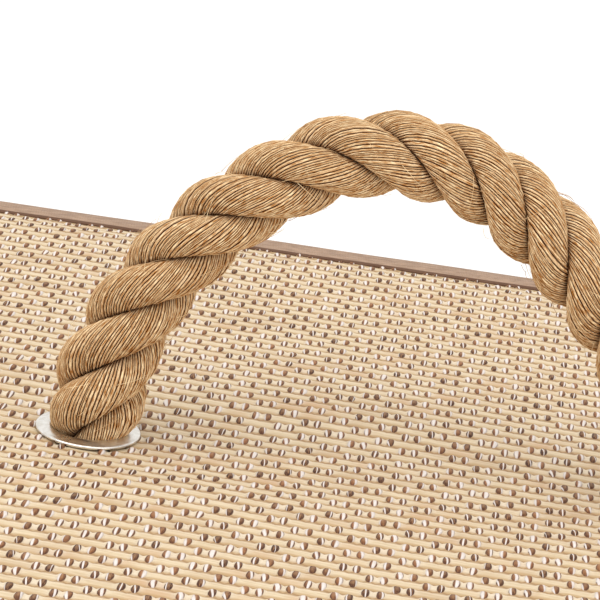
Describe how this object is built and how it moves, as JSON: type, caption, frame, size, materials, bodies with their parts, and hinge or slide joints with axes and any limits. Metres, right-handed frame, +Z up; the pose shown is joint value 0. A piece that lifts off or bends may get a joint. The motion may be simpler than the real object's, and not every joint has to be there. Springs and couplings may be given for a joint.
{
  "type": "fabric storage bin",
  "caption": "Rectangular stiffened woven storage box with a lift-off lid, lifted by a thick rope handle that passes through metal eyelets in the lid.",
  "frame": {"origin": "centre of the base, on the surface that the bin stands on", "axes": "+X along the long side and the row of eyelets, +Y to the back, +Z up"},
  "size_m": [0.38, 0.254, 0.3084],
  "materials": {
    "weave": "coarse half-basket weave of cream paper-like weft over pairs of brown and white warp yarns, slight sheen",
    "board": "plain compressed greyboard, matt",
    "lining": "thin off-white non-woven lining, matt",
    "tape": "taupe fine-ribbed binding tape, matt, stitched",
    "eyelet_metal": "pressed eyelet metal, satin, lightly worn",
    "rope": "three-strand twisted tan rope of fine yarns, matt with light fuzz"
  },
  "bodies": {
    "bin": {"base_cloth": "weave", "base_board": "board", "base_lining": "lining", "front_cloth": "weave", "back_cloth": "weave", "left_cloth": "weave", "right_cloth": "weave", "front_board": "board", "back_board": "board", "left_board": "board", "right_board": "board", "wall_lining": "lining", "rim_tape": "tape"},
    "insert": {"insert_board": "board", "insert_cover": "lining", "insert_pull_tab": "tape"},
    "lid": {"lid_top_cloth": "weave", "lid_board": "board", "lid_top_lining": "lining", "lid_front_cloth": "weave", "lid_back_cloth": "weave", "lid_left_cloth": "weave", "lid_right_cloth": "weave", "lid_front_board": "board", "lid_back_board": "board", "lid_left_board": "board", "lid_right_board": "board", "lid_skirt_lining": "lining", "lid_edge_tape": "tape", "lid_hem_tape": "tape", "eyelet_left": "eyelet_metal", "eyelet_right": "eyelet_metal", "washer_left": "eyelet_metal", "washer_right": "eyelet_metal", "rope_end_left": "rope", "rope_end_right": "rope"},
    "handle": {"rope_handle": "rope"}
  },
  "joints": [
    {"name": "insert_tip", "type": "hinge", "parent": "bin", "child": "insert", "pos_m": [0, 0.114, 0.008], "axis": [-1, 0, 0], "range_deg": [0, 50]},
    {"name": "lid_lift", "type": "slide", "parent": "bin", "child": "lid", "axis": [0, 0, 1], "range_m": [0, 0.12]},
    {"name": "handle_swing", "type": "hinge", "parent": "lid", "child": "handle", "pos_m": [0, 0, 0.2532], "axis": [1, 0, 0], "range_deg": [-80, 80], "stiffness_Nm_per_rad": 0.06}
  ]
}
